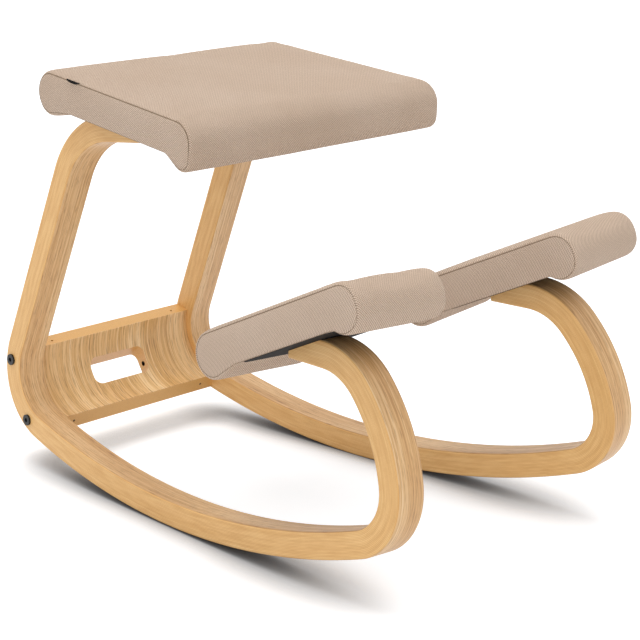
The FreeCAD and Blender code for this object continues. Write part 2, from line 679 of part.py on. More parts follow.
def board(name, frame, corners, low, thick, draw=rounded_rectangle):
    """A flat board: corners holds words for its rear, front and half width."""
    body = new_body(name, at(frame, "0", "0", low))
    outline = new_sketch(body, name + "_outline", "XY_Plane")
    rear, front, half = [sum(sign * size(word) for sign, word in terms) for terms in corners]
    ends = [" ".join(f"{'-' if sign < 0 else '+'} Sizes.{word}" for sign, word in terms).lstrip("+ ")
            for terms in corners]
    draw(outline, rear, front, -half, half, size("board_corner"),
         (ends[0], ends[1], f"-({ends[2]})", ends[2], "Sizes.board_corner"))
    padded(body, name + "_sheet", outline, thick, midplane=False)
    return body


# Seat: its sides taper a little towards the rear
def seat_form(name, inset):
    body = new_body(name + "_roll", SEAT)
    padded(body, name + "_length", cushion_profile(body, name + "_side", "seat", inset),
           "2 * Sizes.seat_half + Sizes.stance_half")
    edge = "Sizes.cloth" if inset else "0"
    right = block(name + "_side_cut", at(seat_side(), f"-{FAR}", f"{edge} - {FAR}", f"-{FAR}"),
                  f"{2 * FAR}", f"{FAR}", f"{2 * FAR}")
    return cut(name, body, fused(name + "_cuts", [right, mirrored(name + "_side_cut_twin", right)]))


def seat_side():
    """Frame on the seat's right side face: x forward along it, y inwards."""
    return at(SEAT, "0", "-Sizes.seat_half", "0", "-Sizes.seat_taper")


seat_outer = seat_form("seat_outer", False)
seat_core = seat_form("seat_core", True)
seat_plate_blank = board("seat_plate_blank", SEAT,
                         ([(1, "seat_hollow_rear"), (1, "plate_rim")],
                          [(1, "seat_hollow_front"), (-1, "plate_rim")],
                          [(1, "seat_board_half")]), "0", "Sizes.seat_plate_thick")
seat_board_blank = board("seat_board_blank", SEAT,
                         ([(1, "seat_board_rear")], [(1, "seat_board_front")], [(1, "seat_board_half")]),
                         "Sizes.seat_plate_thick", "Sizes.seat_board_thick", eased_rectangle)


def shanks(name, frame, kind, across_y):
    """Clearance holes for the screws of one side through a base plate."""
    items = []
    for end in ("rear", "front"):
        x = f"Sizes.{kind}_screw_{end}"
        y = across_y(x)
        items.append(rod(f"{name}_{end}", at(frame, x, y, "-1"), "Sizes.screw_radius + Sizes.screw_gap",
                         f"Sizes.{kind}_plate_thick + 2"))
    return items


seat_holes = fused("seat_holes", shanks("seat_hole", SEAT, "seat", place_y))
seat_base_plate = cut("seat_base_plate", seat_plate_blank,
                      fused("seat_plate_holes", [seat_holes, mirrored("seat_holes_twin", seat_holes)]))
nuts_right = fused("seat_nuts_right", seat_nut_bodies)
nuts_both = fused("seat_nuts_both", [nuts_right, mirrored("seat_nuts_left", nuts_right)])
seat_board = cut("seat_board", seat_board_blank, nuts_both)
seat_inner = fused("seat_inner", [seat_board_blank, seat_plate_blank, nuts_both])
seat_foam = cut("seat_foam", seat_core, seat_inner)
seat_cover = cut("seat_cover", seat_outer, fused("seat_cover_inside", [seat_core, seat_inner]))
seat_tab = block("seat_tab", at(seat_side(), "Sizes.tab_rear", "-Sizes.tab_thick",
                                "Sizes.seat_top - Sizes.tab_drop - Sizes.tab_high"),
                 "Sizes.tab_long", "Sizes.tab_thick", "Sizes.tab_high")


# Knee pads: straight sided, square to the runner that carries them
def pad_form(name, inset):
    body = new_body(name, PAD)
    less = " - 2 * Sizes.cloth" if inset else ""
    padded(body, name + "_length", cushion_profile(body, name + "_side", "pad", inset),
           f"2 * Sizes.pad_half{less}")
    return body


pad_outer = pad_form("pad_outer", False)
pad_core = pad_form("pad_core", True)
pad_plate_blank = board("pad_plate_blank", PAD,
                        ([(1, "pad_hollow_rear"), (1, "plate_rim")],
                         [(1, "pad_hollow_front"), (-1, "plate_rim")],
                         [(1, "pad_half"), (-1, "plate_rim")]), "0", "Sizes.pad_plate_thick")
pad_board_blank = board("pad_board_blank", PAD,
                        ([(1, "pad_board_rear")], [(1, "pad_board_front")], [(1, "pad_board_half")]),
                        "Sizes.pad_plate_thick", "Sizes.pad_board_thick", eased_rectangle)
pad_holes = fused("pad_holes", shanks("pad_hole", PAD, "pad", lambda x: "0"))
pad_nuts_both = fused("pad_nuts_one_side", pad_nut_bodies)
pad_inner = fused("pad_inner", [pad_board_blank, pad_plate_blank, pad_nuts_both])
pad_pieces = {
    "knee_pad_base": cut("knee_pad_base_right", pad_plate_blank, pad_holes),
    "knee_pad_board": cut("knee_pad_board_right", pad_board_blank, pad_nuts_both),
    "knee_pad_foam": cut("knee_pad_foam_right", pad_core, pad_inner),
    "knee_pad_cover": cut("knee_pad_cover_right", pad_outer,
                          fused("pad_cover_inside", [pad_core, pad_inner])),
}

bolts_right = group("crosspiece_bolts_right", connector_bolts)
sleeves_right = group("crosspiece_sleeves_right", connector_sleeves)

# Every node: its name and the object that is written for it
NODES = {
    "runner_right": runner_right,
    "runner_left": runner_left,
    "crosspiece": crosspiece,
    "crosspiece_bolts": pair("crosspiece_bolts_all", bolts_right),
    "crosspiece_sleeves": pair("crosspiece_sleeves_all", sleeves_right),
    "sleeve_pins": pair("sleeve_pins_all", group("sleeve_pins_right", sleeve_pins)),
    "seat_board": seat_board,
    "seat_base_plate": seat_base_plate,
    "seat_foam": seat_foam,
    "seat_cover": seat_cover,
    "seat_tab": seat_tab,
    "seat_screws": pair("seat_screws_all", group("seat_screws_right", seat_screws)),
    "seat_washers": pair("seat_washers_all", group("seat_washers_right", seat_washers)),
    "seat_nuts": pair("seat_nuts_all", group("seat_nuts_right_group", seat_nuts)),
    "knee_pad_screws": pair("pad_screws_all", group("pad_screws_right", pad_screws)),
    "knee_pad_washers": pair("pad_washers_all", group("pad_washers_right", pad_washers)),
    "knee_pad_nuts": pair("pad_nuts_all", group("pad_nuts_right", pad_nuts)),
}
for word, piece in pad_pieces.items():
    NODES[f"{word}_right"] = piece
    NODES[f"{word}_left"] = mirrored(f"{word}_left", piece)
for label, item in NODES.items():
    item.Label = label

doc.recompute()
faults = [item.Name for item in doc.Objects if "Invalid" in item.State or "Error" in item.State]
for label, item in NODES.items():
    if item.Shape.isNull() or not item.Shape.isValid() or not item.Shape.Solids:
        faults.append(label)
if faults:
    raise RuntimeError("these did not build: " + ", ".join(sorted(set(faults))))

os.makedirs("parts", exist_ok=True)
for label, item in NODES.items():
    item.Shape.exportStep(f"parts/{label}.step")
    box = item.Shape.BoundBox
    print(label, len(item.Shape.Solids), "solid(s)", round(item.Shape.Volume), "mm3",
          [round(edge, 1) for edge in (box.XMin, box.XMax, box.YMin, box.YMax, box.ZMin, box.ZMax)])
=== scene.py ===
# %% [markdown]
# # Rocking kneeling chair
# The imported solids are the fixed frame of this scene. Each cell below either dresses one of them
# or builds a softer, finer piece in its place. Loading comes first.

# %% Load the frame
import math

import bmesh
import bpy
import numpy as np
from mathutils import Matrix, Vector


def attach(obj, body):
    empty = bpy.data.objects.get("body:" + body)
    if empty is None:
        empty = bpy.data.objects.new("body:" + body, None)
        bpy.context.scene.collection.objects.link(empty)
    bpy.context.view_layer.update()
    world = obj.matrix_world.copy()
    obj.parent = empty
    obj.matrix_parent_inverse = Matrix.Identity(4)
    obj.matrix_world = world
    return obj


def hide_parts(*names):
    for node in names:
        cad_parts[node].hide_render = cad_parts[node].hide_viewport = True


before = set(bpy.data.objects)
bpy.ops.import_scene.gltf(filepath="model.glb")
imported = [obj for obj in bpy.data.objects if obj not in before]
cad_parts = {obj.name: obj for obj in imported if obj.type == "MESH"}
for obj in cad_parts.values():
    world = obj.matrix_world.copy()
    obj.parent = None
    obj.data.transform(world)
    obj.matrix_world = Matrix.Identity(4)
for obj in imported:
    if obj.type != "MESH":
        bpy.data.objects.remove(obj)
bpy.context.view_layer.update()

MM = 0.001


def add_object(name, data):
    """A new object in the scene."""
    made = bpy.data.objects.new(name, data)
    bpy.context.scene.collection.objects.link(made)
    return made


# %% [markdown]
# ## The camera
# The camera stands where the photograph was taken from: in front and to the sitter's right, a little
# above the seat. A long lens keeps the perspective mild. It is made first, so that every piece can be
# judged through it.

# %% Camera
camera = add_object("camera", bpy.data.cameras.new("camera"))
camera.location = (1.5585, -1.5378, 0.8352)
camera.rotation_euler = (math.radians(74.28), 0, math.radians(44.5))
camera.data.sensor_width = 36
camera.data.lens = 106.4
camera.data.clip_start = 0.05
camera.data.clip_end = 60
bpy.context.scene.camera = camera
print("camera", round((camera.location - Vector((0, 0, 0.25))).length, 2), "m from the chair's middle")

# %% [markdown]
# ## Colours and nodes
# Every colour is written as an sRGB hex value, as a colour picker shows it, and one function turns it
# to the linear numbers that Blender wants. One function adds a node, and it takes the node's options
# and what goes into it at once, so that a material reads as a list of steps.

# %% Colour and node helpers


def linear(hex_text):
    """An sRGB hex colour as the linear numbers that shader nodes take."""
    values = [int(hex_text[i:i + 2], 16) / 255 for i in (1, 3, 5)]
    return [v / 12.92 if v <= 0.04045 else ((v + 0.055) / 1.055) ** 2.4 for v in values] + [1.0]


def fill(tree, node, *values, **inputs):
    """Sets or links a node's inputs, in order or by name or number. A node stands for its first output."""
    pairs = [(node.inputs[i], value) for i, value in enumerate(values)]
    for key, value in inputs.items():
        by_number = key[0] == "_" and key[1:].isdigit()
        pairs.append((node.inputs[int(key[1:]) if by_number else key.replace("_", " ")], value))
    for socket, value in pairs:
        if isinstance(value, bpy.types.Node):
            value = value.outputs[0]
        if isinstance(value, bpy.types.NodeSocket):
            tree.links.new(value, socket)
        else:
            socket.default_value = value


def add_node(tree, kind, settings=None, *values, **inputs):
    """Adds one node. Its settings are its options, or the name of its operation; "stops" are a ramp's."""
    node = tree.nodes.new(kind)
    settings = {"operation": settings} if isinstance(settings, str) else dict(settings or {})
    stops = settings.pop("stops", ())
    for key, value in settings.items():
        setattr(node, key, value)
    if stops:
        elements = node.color_ramp.elements
        while len(elements) < len(stops):
            elements.new(0.5)
        for element, (place, colour) in zip(elements, stops):
            element.position = place
            element.color = linear(colour)
    fill(tree, node, *values, **inputs)
    return node


def new_material(name):
    """An empty material with a Principled shader, and its tree and shader."""
    material = bpy.data.materials.new(name)
    material.use_nodes = True
    tree = material.node_tree
    return material, tree, tree.nodes["Principled BSDF"]


MATH, RAMP, MIX, NOISE = "ShaderNodeMath", "ShaderNodeValToRGB", "ShaderNodeMix", "ShaderNodeTexNoise"
COMBINE, SEPARATE, BUMP = "ShaderNodeCombineXYZ", "ShaderNodeSeparateXYZ", "ShaderNodeBump"
# A colour mix takes its share as input 0 and its colours as inputs 6 and 7, and gives output 2
BLEND = {"data_type": "RGBA"}
MULTIPLIED = {"data_type": "RGBA", "blend_type": "MULTIPLY"}
print("white is", linear("#FFFFFF"))

# %% [markdown]
# ## The studio
# A plain pale floor, an even sky and two broad sun lamps: one overhead and one low one that comes over
# the camera's shoulder. A sun lamp has no fall-off, so the floor is equally white near and far, and its
# wide angle keeps the shadows soft. The floor and the sky are white for what the camera sees, while the
# object is lit at a plain level, so a colour comes out about as it is written.

# %% Floor, sky and lamps
FLOOR_HALF = 6
# How far the painted floor shade under the rockers reaches, in metres
PAINTED_SHADE_REACH = 0.065
SKY_LIGHT = 0.56

corners = [(-1, -1), (1, -1), (1, 1), (-1, 1)]
floor_mesh = bpy.data.meshes.new("floor")
floor_mesh.from_pydata([(FLOOR_HALF * x, FLOOR_HALF * y, 0) for x, y in corners], [], [(0, 1, 2, 3)])
floor = add_object("floor", floor_mesh)
# Matt white paper: it has no gloss at all
floor_paper, tree, shader = new_material("matt_white_studio_paper")
rays = add_node(tree, "ShaderNodeLightPath").outputs
seen = add_node(tree, MATH, "MAXIMUM", rays["Is Camera Ray"], rays["Is Glossy Ray"])
# Open floor glows up to white; an occlusion mask paints a tight grey shade into it right under the rockers
open_sky = add_node(tree, "ShaderNodeAmbientOcclusion", {"samples": 16}, Distance=PAINTED_SHADE_REACH).outputs["AO"]
lift = add_node(tree, MATH, "MULTIPLY", add_node(tree, MATH, "POWER", open_sky, 2.0), 0.40)
fill(tree, shader, Roughness=0.9, Specular_IOR_Level=0.0, Emission_Color=linear("#FFFFFF"),
     Base_Color=add_node(tree, RAMP, {"stops": [(0.35, "#7A7C80"), (0.90, "#F1F3F6")]}, open_sky),
     Emission_Strength=add_node(tree, MATH, "MULTIPLY", seen, lift))
floor_mesh.materials.append(floor_paper)

world = bpy.data.worlds.new("studio_sky")
bpy.context.scene.world = world
world.use_nodes = True
tree = world.node_tree
rays = add_node(tree, "ShaderNodeLightPath").outputs
seen = add_node(tree, MATH, "MAXIMUM", rays["Is Camera Ray"], rays["Is Glossy Ray"])
rest_of_white = add_node(tree, MATH, "MULTIPLY", seen, 1 - SKY_LIGHT)
fill(tree, tree.nodes["Background"], Color=linear("#FFFFFF"),
     Strength=add_node(tree, MATH, "ADD", SKY_LIGHT, rest_of_white))


def add_sun(name, direction, level, spread):
    """A sun lamp from a direction: level is how bright it lights a white sheet that faces it."""
    data = bpy.data.lights.new(name, "SUN")
    data.energy = level * math.pi
    data.angle = math.radians(spread)
    lamp = add_object(name, data)
    lamp.location = Vector(direction) * 3
    lamp.rotation_euler = Vector(direction).to_track_quat("Z", "Y").to_euler()


add_sun("overhead", (-0.25, 0.0, 1.0), 0.50, 45)
add_sun("over_the_shoulder", (1.0, -0.85, 0.8), 0.22, 50)
bpy.context.scene.view_settings.view_transform = "Standard"

# %% [markdown]
# ## The path of a runner
# A runner is one strip of glued veneers, bent into an open loop. Its middle line is straights and arcs
# that meet without a corner. The same sizes as the solids' give the line here, in millimetres, in
# the frame of the right-hand runner: x along it, z up. Walking it from the top end to the front tip
# needs only a length or a radius and an angle for each step.

# %% Runner path
THICK, WIDE, ROUND = 31.0, 37.0, 2.5
STANCE, TOE, CANT = 187.5, 3.2, 2.7
ROCKER_RADIUS, ROCKER_LOW_X = 982.7, -27.9
REAR_BEND_RADIUS = 56.2
UPRIGHT_LEAN, TOP_BEND_TURN = 23.0, 60.3
TOP_TIP, FRONT_TIP = 10.7, 8.2
SEAT_TILT, PAD_TILT = 6.2, 24.5
# From the top end: seat rest, top bend, upright, rear bend, rocker, low bend, rise, crest, front tip
STEPS = [("line", 87.3, 0), ("arc", 93.4, TOP_BEND_TURN), ("line", 256.3, 0),
         ("arc", REAR_BEND_RADIUS, 97.1), ("rocker", ROCKER_RADIUS, 35.7), ("arc", 48.9, 81.2),
         ("arc", 171.7, 33.1), ("arc", 64.2, 46.1), ("line", 52.0, 0)]


def walk(steps, heading, spacing=6.0):
    """Points along the middle line, and the centres of its arcs."""
    point = np.zeros(2)
    points = [point]
    centres = []
    for kind, length, span in steps:
        if kind == "line":
            along = np.array([math.cos(heading), math.sin(heading)])
            count = max(2, round(length / spacing))
            points += [point + along * length * k / count for k in range(1, count + 1)]
            point = points[-1]
            continue
        # The rocker's radius is its outer face's, and a bend's radius is its inner face's
        radius = length - THICK / 2 if kind == "rocker" else length + THICK / 2
        centre = point + radius * np.array([-math.sin(heading), math.cos(heading)])
        centres.append(centre)
        turn = math.radians(span)
        count = max(6, round(radius * turn / spacing), round(span / 3))
        for k in range(1, count + 1):
            a = heading + turn * k / count
            points.append(centre + radius * np.array([math.sin(a), -math.cos(a)]))
        heading += turn
        point = points[-1]
    return np.array(points), centres


path, arc_centres = walk(STEPS, math.radians(270 - UPRIGHT_LEAN - TOP_BEND_TURN))
rear_centre, rocker_centre = arc_centres[1:3]
shift = np.array([ROCKER_LOW_X, ROCKER_RADIUS]) - rocker_centre
path += shift
bend_centre = rear_centre + shift
print("path:", len(path), "points, from", path[0].round(1), "to", path[-1].round(1))

# %% [markdown]
# ## Frames for what the runner carries
# A runner is turned out at the front by the toe angle and leaned in at the top by the cant angle. The
# seat lies on flats cut on the two top ends, and each knee pad on a flat cut on the front tip. These
# matrices take a point from such a local frame to the chair's frame, in millimetres.

# %% Frames
cant = math.radians(CANT)
toe = math.radians(TOE)
# A canted strip stands on its rounded lower edge, and this lifts that edge to the floor
LIFT = math.sin(cant) * (WIDE - ROUND) + (1 - math.cos(cant)) * ROUND
SEAT_FLAT = path[0][1] - THICK / 2 + TOP_TIP
PAD_FLAT = path[-1][1] - THICK / 2 + FRONT_TIP


def turn(axis, degrees):
    return Matrix.Rotation(math.radians(degrees), 4, axis)


def normal_of(place):
    """Which way a local frame's flat looks."""
    return (place.to_3x3() @ Vector((0, 0, 1))).normalized()


RUNNER = Matrix.Translation((0, -STANCE, LIFT)) @ turn("Z", -TOE) @ turn("X", -CANT)
SEAT = Matrix.Translation((path[0][0] * math.cos(toe), 0, LIFT + SEAT_FLAT * math.cos(cant)))
SEAT = SEAT @ turn("Y", SEAT_TILT)
PAD = RUNNER @ Matrix.Translation((path[-1][0], WIDE / 2, PAD_FLAT)) @ turn("Y", -PAD_TILT)
LEFT = Matrix.Diagonal((1, -1, 1, 1))
for label, place in (("seat", SEAT), ("right pad", PAD)):
    print(label, "frame at", [round(c, 1) for c in place.translation])

# %% [markdown]
# ## Laminated oak
# The runners are glued from thin veneers, pressed hot in a mould, sanded and lacquered matt. So there
# are two looks on one piece. The broad inner and outer faces show one long veneer, with streaks along
# the strip. The narrow sides show the veneers' edges as fine parallel lines, lighter and warmer. Both
# follow the bend, so the material reads three measures stored on the mesh: "along" the strip, "across"
# its width and "layer" through its thickness, all in metres.

# %% Laminated oak material
SHEET = 1.6
FACE_VENEER = 0.7
PORE_SHARE = 0.42


def strip_place(tree, along, across, long_scale, cross_scale, seed):
    """A place in a pattern that is drawn out along the strip."""
    return add_node(tree, COMBINE, X=add_node(tree, MATH, "MULTIPLY", along, long_scale),
                    Y=add_node(tree, MATH, "MULTIPLY", across, cross_scale), Z=seed)


def veneer_pattern(tree, along, across, seed):
    """Tone of sliced oak veneer, from fine and broad streaks, and its short dark pores."""
    # Streaks are about 250 mm long and 2.4 mm wide, the drift 500 by 22 mm, a pore 24 by 1.3 mm. Real
    # pores are finer, but would not show.
    streaks = add_node(tree, NOISE, Vector=strip_place(tree, along, across, 4.0, 420.0, seed),
                       Scale=1.0, Detail=5.0, Roughness=0.66, Distortion=0.08)
    drift = add_node(tree, NOISE, Vector=strip_place(tree, along, across, 2.0, 45.0, seed),
                     Scale=1.0, Detail=2.0, Roughness=0.5, Distortion=0.5)
    pores = add_node(tree, NOISE, Vector=strip_place(tree, along, across, 42.0, 760.0, seed),
                     Scale=1.0, Detail=2.0, Roughness=0.6)
    tone = add_node(tree, MATH, "ADD", add_node(tree, MATH, "MULTIPLY", streaks, 0.68),
                    add_node(tree, MATH, "MULTIPLY", drift, 0.32))
    return tone, pores


def veneer_face(tree, tone, pores, tone_stops, pore_stops):
    """The colour of a broad face: its tone, darkened a little by the pores."""
    toned = add_node(tree, RAMP, {"stops": tone_stops}, tone)
    darkened = add_node(tree, RAMP, {"stops": pore_stops}, pores)
    return add_node(tree, MIX, MULTIPLIED, _0=PORE_SHARE, _6=toned, _7=darkened).outputs[2]


def finish_wood(tree, shader, colour, tone, is_face, **gloss):
    """Matt lacquer over the grain, which stands up a little on the broad faces only."""
    relief = add_node(tree, MATH, "MULTIPLY", tone, is_face)
    bump = add_node(tree, BUMP, Strength=0.25, Distance=0.0004, Height=relief)
    fill(tree, shader, Base_Color=colour, Normal=bump, **gloss)


laminated_oak, tree, shader = new_material("laminated_oak_matt_lacquer")
along, across, layer = (add_node(tree, "ShaderNodeAttribute", {"attribute_name": word}).outputs["Fac"]
                        for word in ("along", "across", "layer"))
side = add_node(tree, MATH, "SIGN", layer)
tone, pores = veneer_pattern(tree, along, across, add_node(tree, MATH, "MULTIPLY", side, 3.0))
face = veneer_face(tree, tone, pores, [(0.34, "#BB8A55"), (0.44, "#CFA06A"), (0.51, "#DDB27D"),
                                       (0.58, "#E8C392"), (0.70, "#F2D3A6")],
                   [(0.36, "#94683F"), (0.46, "#FFFFFF")])
# Each veneer's edge is tinted a little differently, with a thin darker glue line
sheets = add_node(tree, MATH, "DIVIDE", layer, SHEET * MM)
sheet_place = add_node(tree, COMBINE, X=add_node(tree, MATH, "FLOOR", sheets),
                       Y=add_node(tree, MATH, "MULTIPLY", along, 1.5))
tint = add_node(tree, NOISE, Vector=sheet_place, Scale=1.7, Detail=2.0)
glue = add_node(tree, MATH, "LESS_THAN", add_node(tree, MATH, "FRACT", sheets), 0.26)
edge = add_node(tree, RAMP, {"stops": [(0.30, "#E7B671"), (0.5, "#EDBF7C"), (0.70, "#F3C988")]}, tint)
edge = add_node(tree, MIX, MULTIPLIED, _0=add_node(tree, MATH, "MULTIPLY", glue, 0.50), _6=edge,
                _7=linear("#D3A873")).outputs[2]
# A mottle, 33 mm long and 4 mm wide, breaks the lines up as end and side grain does
mottle_place = add_node(tree, COMBINE, X=add_node(tree, MATH, "MULTIPLY", along, 30.0),
                        Y=add_node(tree, MATH, "MULTIPLY", layer, 260.0))
mottle = add_node(tree, NOISE, Vector=mottle_place, Scale=1.0, Detail=3.0)
edge = add_node(tree, MIX, MULTIPLIED, _0=0.45, _6=edge,
                _7=add_node(tree, RAMP, {"stops": [(0.35, "#E6D3BA"), (0.6, "#FFFFFF")]}, mottle)).outputs[2]
is_face = add_node(tree, MATH, "GREATER_THAN", add_node(tree, MATH, "ABSOLUTE", layer),
                   (THICK / 2 - FACE_VENEER) * MM)
colour = add_node(tree, MIX, BLEND, _0=is_face, _6=edge, _7=face).outputs[2]
finish_wood(tree, shader, colour, tone, is_face, Roughness=0.42, Specular_IOR_Level=0.45)
print("made", laminated_oak.name)

# %% [markdown]
# ## The runners
# A strip of constant section along a path is what Curve to Mesh is for. A rounded rectangle is swept
# along the path, and three named attributes keep each point's place in the strip.

# %% Strip tree


def begin_tree(name, inputs):
    """A Geometry Nodes tree with a geometry in and out, a material and named sizes."""
    tree = bpy.data.node_groups.new(name, "GeometryNodeTree")
    sockets = tree.interface
    sockets.new_socket(name="Geometry", in_out="OUTPUT", socket_type="NodeSocketGeometry")
    sockets.new_socket(name="Geometry", in_out="INPUT", socket_type="NodeSocketGeometry")
    sockets.new_socket(name="Material", in_out="INPUT", socket_type="NodeSocketMaterial")
    for word, value in inputs.items():
        sockets.new_socket(name=word, in_out="INPUT", socket_type="NodeSocketFloat").default_value = value
    return tree, add_node(tree, "NodeGroupInput").outputs, add_node(tree, "NodeGroupOutput")


def end_tree(tree, source, result, output):
    """Every tree ends in Realize Instances and Set Material."""
    real = add_node(tree, "GeometryNodeRealizeInstances", Geometry=result)
    fill(tree, output, Geometry=add_node(tree, "GeometryNodeSetMaterial", Geometry=real,
                                         Material=source["Material"]))


def run_tree(tree, source_object, name, material):
    """Runs a tree on an object and returns the result as a plain mesh object."""
    modifier = source_object.modifiers.new("build", "NODES")
    modifier.node_group = tree
    keys = {item.name: item.identifier for item in tree.interface.items_tree if item.in_out == "INPUT"}
    modifier[keys["Material"]] = material
    bpy.context.view_layer.update()
    graph = bpy.context.evaluated_depsgraph_get()
    mesh = bpy.data.meshes.new_from_object(source_object.evaluated_get(graph), depsgraph=graph)
    mesh.name = name
    piece = add_object(name, mesh)
    source_object.modifiers.remove(modifier)
    bpy.data.objects.remove(source_object)
    return piece


def path_object(name, points, cyclic=False):
    """A poly curve through points."""
    curve = bpy.data.curves.new(name, "CURVE")
    curve.dimensions = "3D"
    spline = curve.splines.new("POLY")
    spline.points.add(len(points) - 1)
    for target, point in zip(spline.points, points):
        target.co = (*point, 1)
    spline.use_cyclic_u = cyclic
    return add_object(name, curve)


STORE = "GeometryNodeStoreNamedAttribute"
ON_POINTS = {"domain": "POINT", "data_type": "FLOAT"}
strip_sizes = {"Width": WIDE * MM, "Thickness": THICK * MM, "Edge round": ROUND * MM}
strip_tree, source, output = begin_tree("laminated_strip", strip_sizes)
rectangle = add_node(strip_tree, "GeometryNodeCurvePrimitiveQuadrilateral", {"mode": "RECTANGLE"},
                     Width=source["Width"], Height=source["Thickness"])
section = add_node(strip_tree, "GeometryNodeFilletCurve", {"mode": "POLY"}, Curve=rectangle, Count=4,
                   Radius=source["Edge round"])
place = add_node(strip_tree, SEPARATE, Vector=add_node(strip_tree, "GeometryNodeInputPosition")).outputs
section = add_node(strip_tree, STORE, ON_POINTS, Geometry=section, Name="across", Value=place["X"])
section = add_node(strip_tree, STORE, ON_POINTS, Geometry=section, Name="layer", Value=place["Y"])
line = add_node(strip_tree, STORE, ON_POINTS, Geometry=source["Geometry"], Name="along",
                Value=add_node(strip_tree, "GeometryNodeSplineParameter").outputs["Length"])
line = add_node(strip_tree, "GeometryNodeSetCurveNormal", {"mode": "FREE"}, Curve=line, Normal=(0, 1, 0))
swept = add_node(strip_tree, "GeometryNodeCurveToMesh", Curve=line, Profile_Curve=section, Fill_Caps=True)
end_tree(strip_tree, source, swept, output)
print("strip tree:", len(strip_tree.nodes), "nodes")

# %% [markdown]
# ## Sawing and mirroring
# On the real strip the flats under the seat and the pads are sawn after the bending. Here a plane cuts
# each, only among the points of its own end, and the rim is closed. Whatever the right runner gets, the
# left one gets as its mirror image.

# %% Bend and cut the right runner


def cut_flat(piece, where, place):
    """Saws off what lies above a frame's flat, among the points that where() picks, and closes the cut."""
    work = bmesh.new()
    work.from_mesh(piece.data)
    picked = {v for v in work.verts if where(v.co)}
    part = list(picked) + [e for e in work.edges if picked.issuperset(e.verts)]
    part += [f for f in work.faces if picked.issuperset(f.verts)]
    made = bmesh.ops.bisect_plane(work, geom=part, dist=1e-7, plane_co=place.translation * MM,
                                  plane_no=normal_of(place), clear_outer=True)
    rim = [e for e in made["geom_cut"] if isinstance(e, bmesh.types.BMEdge) and e.is_boundary]
    bmesh.ops.edgeloop_fill(work, edges=rim)
    bmesh.ops.recalc_face_normals(work, faces=work.faces)
    work.to_mesh(piece.data)
    work.free()


def mirror_piece(piece, name):
    """The left-hand twin of a right-hand piece, with its faces turned to point outwards again."""
    twin = piece.copy()
    twin.data = piece.data.copy()
    twin.name = twin.data.name = name
    bpy.context.scene.collection.objects.link(twin)
    twin.data.transform(LEFT)
    twin.data.flip_normals()
    return twin


def smooth_faces(piece):
    for polygon in piece.data.polygons:
        polygon.use_smooth = True


def settle(piece, slot, *nodes):
    """Hands a finished piece to the frame: hides what it stands for and gives it its body. The slot is not
    used.
    """
    if nodes:
        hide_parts(*nodes)
    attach(piece, "root")


centre_line = path_object("runner_line", [(x * MM, WIDE / 2 * MM, z * MM) for x, z in path])
runner = run_tree(strip_tree, centre_line, "runner_strip_right", laminated_oak)
TO_METRES = Matrix.Scale(MM, 4)
runner.data.transform(TO_METRES @ RUNNER @ TO_METRES.inverted())
# In metres: the top end is high and at the rear, the front tip is far forward and above the rocker
cut_flat(runner, lambda p: p.z > 0.3 and p.x < 0.1, SEAT)
cut_flat(runner, lambda p: p.x > 0.15 and p.z > 0.12, PAD)
print("runner:", len(runner.data.polygons), "faces before drilling")

# %% [markdown]
# ## The screws' holes
# Seat and pads are screwed on from below, through the strip's ends. Each hole is a clearance bore with
# a counterbore for the head and its washer. An exact Boolean drills them, because the bores have to
# leave clean rims on a curved face.

# %% Drill and mirror
SEAT_SCREWS, PAD_SCREWS = (-75.5, -25.5), (17.5, 41.5)
HEAD_BORE, SHANK_BORE = 8.5, 3.4
SEAT_HEADS, PAD_HEADS = (-39, -8), (-37, -6)
SHARP = 35


def drill(piece, holes):
    """Bores round holes: each is a frame, a place in it, a radius, and its low and high end, in mm."""
    work = bmesh.new()
    for place, x, y, radius, low, high in holes:
        made = bmesh.ops.create_cone(work, cap_ends=True, segments=40, radius1=radius, radius2=radius,
                                     depth=high - low)
        middle = place @ Matrix.Translation((x, y, (low + high) / 2))
        bmesh.ops.transform(work, matrix=middle, verts=made["verts"])
    bmesh.ops.scale(work, vec=(MM, MM, MM), verts=work.verts)
    mesh = bpy.data.meshes.new("drill_bits")
    work.to_mesh(mesh)
    work.free()
    bits = add_object("drill_bits", mesh)
    bore = piece.modifiers.new("bore", "BOOLEAN")
    bore.operation = "DIFFERENCE"
    bore.solver = "EXACT"
    bore.use_self = True
    bore.object = bits
    graph = bpy.context.evaluated_depsgraph_get()
    bored = bpy.data.meshes.new_from_object(piece.evaluated_get(graph), depsgraph=graph)
    piece.modifiers.remove(bore)
    piece.data = bored
    bpy.data.objects.remove(bits)


def seat_screw_y(x):
    """Across the chair, where the right runner's middle is at a place along the seat."""
    lean = math.tan(cant) * SEAT_FLAT - math.tan(toe) * (path[0][0] + x)
    return WIDE / 2 - STANCE + lean


spots = [(SEAT, x, seat_screw_y(x), *SEAT_HEADS) for x in SEAT_SCREWS]
spots += [(PAD, x, 0, *PAD_HEADS) for x in PAD_SCREWS]
holes = []
for place, x, y, low, high in spots:
    holes += [(place, x, y, HEAD_BORE, low, high), (place, x, y, SHANK_BORE, high - 1, 1)]
faces_before = len(runner.data.polygons)
drill(runner, holes)
print("drilling added", len(runner.data.polygons) - faces_before, "faces")
smooth_faces(runner)
runner.data.set_sharp_from_angle(angle=math.radians(SHARP))
runner.modifiers.new("even_normals", "WEIGHTED_NORMAL").keep_sharp = True
runner_left = mirror_piece(runner, "runner_strip_left")
settle(runner, "laminated_wood", "runner_right")
settle(runner_left, "laminated_wood", "runner_left")
print("runner:", len(runner.data.polygons), "faces")

# %% [markdown]
# ## The crosspiece
# A board of glued oak veneers, bent like the runners and lacquered matt, joins the two rear bends,
# with its grain running round the bend. Its own solid is right as it is, so it keeps it, and only the
# material is made here. The board is bent about one straight axis, so "along" is the angle about that
# axis times the radius, and "layer" is the radius. Both come from Object coordinates.

